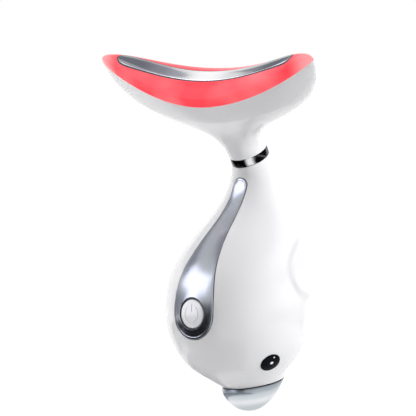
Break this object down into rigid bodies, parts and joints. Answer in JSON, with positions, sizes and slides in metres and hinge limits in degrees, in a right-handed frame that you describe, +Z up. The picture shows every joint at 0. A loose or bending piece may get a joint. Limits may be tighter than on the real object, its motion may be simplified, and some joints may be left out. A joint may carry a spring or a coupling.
{
  "type": "led facial massager",
  "caption": "Hand-held facial massager: plump white handle with a slotted steel plate in a wing-shaped glowing head, push button, chrome neck ring and round silver foot.",
  "frame": {"origin": "centre of the box in X and Y, at the lowest point of the round silver foot in Z", "axes": "+X along the wing-shaped head, towards the tip on the right of someone facing the button; -Y towards the front, where the ribbon and the button are; +Z up from the foot to the head"},
  "size_m": [0.0976, 0.0541, 0.1252],
  "materials": {
    "shell_white": "glossy",
    "ribbon_silver": "satin mirror",
    "guide_dark": "dark, matt",
    "button_white": "glossy",
    "plunger_black": "matt",
    "switch_grey": "matt",
    "board_green": "solder mask",
    "screw_steel": "bright",
    "chassis_grey": "moulded",
    "cell_foil": "foil pouch",
    "lead_red": "insulated wire",
    "lead_grey": "insulated wire bundle",
    "socket_steel": "formed sheet",
    "tongue_black": "moulded",
    "base_silver": "mirror",
    "eye_black": "high gloss",
    "core_grey": "moulded",
    "ring_chrome": "mirror",
    "seal_rubber": "soft",
    "window_clear": "clear, softly frosted",
    "plate_steel": "polished",
    "film_amber": "printed film",
    "bead_black": "coated bead",
    "contact_gold": "plated",
    "board_white": "white solder mask",
    "led_yellow": "phosphor and clear resin",
    "motor_steel": "drawn can",
    "sleeve_rubber": "soft",
    "weight_brass": "sintered"
  },
  "bodies": {
    "housing": {"front_shell": "shell_white", "back_shell": "shell_white", "trim_ribbon": "ribbon_silver", "button_guide": "guide_dark", "tact_switch": "switch_grey", "main_board": "board_green", "board_screws": "screw_steel", "chassis": "chassis_grey", "chassis_screws": "screw_steel", "battery": "cell_foil", "battery_leads": "lead_red", "usb_socket": "socket_steel", "usb_tongue": "tongue_black", "usb_board": "board_green", "usb_leads": "lead_grey", "round_base": "base_silver", "left_eye": "eye_black", "right_eye": "eye_black", "shell_screws": "screw_steel", "neck_core": "core_grey", "neck_ring": "ring_chrome", "neck_seal": "seal_rubber", "head_shell": "shell_white", "led_window": "window_clear", "massage_plate": "plate_steel", "plate_gasket": "seal_rubber", "heater_film": "film_amber", "thermistor": "bead_black", "plate_contacts": "contact_gold", "led_board": "board_white", "leds": "led_yellow", "head_carrier": "core_grey", "motor_case": "motor_steel", "motor_sleeve": "sleeve_rubber", "head_harness": "lead_grey"},
    "button": {"power_button": "button_white", "switch_plunger": "plunger_black"},
    "rotor": {"motor_shaft": "motor_steel", "motor_weight": "weight_brass"}
  },
  "joints": [
    {"name": "button_press", "type": "slide", "parent": "housing", "child": "button", "axis": [0, 1, 0], "range_m": [0, 0.0005], "stiffness_N_per_m": 2500},
    {"name": "motor_spin", "type": "hinge", "parent": "housing", "child": "rotor", "pos_m": [0, -0.00572, 0.10384], "axis": [1, 0, 0], "continuous": true}
  ]
}
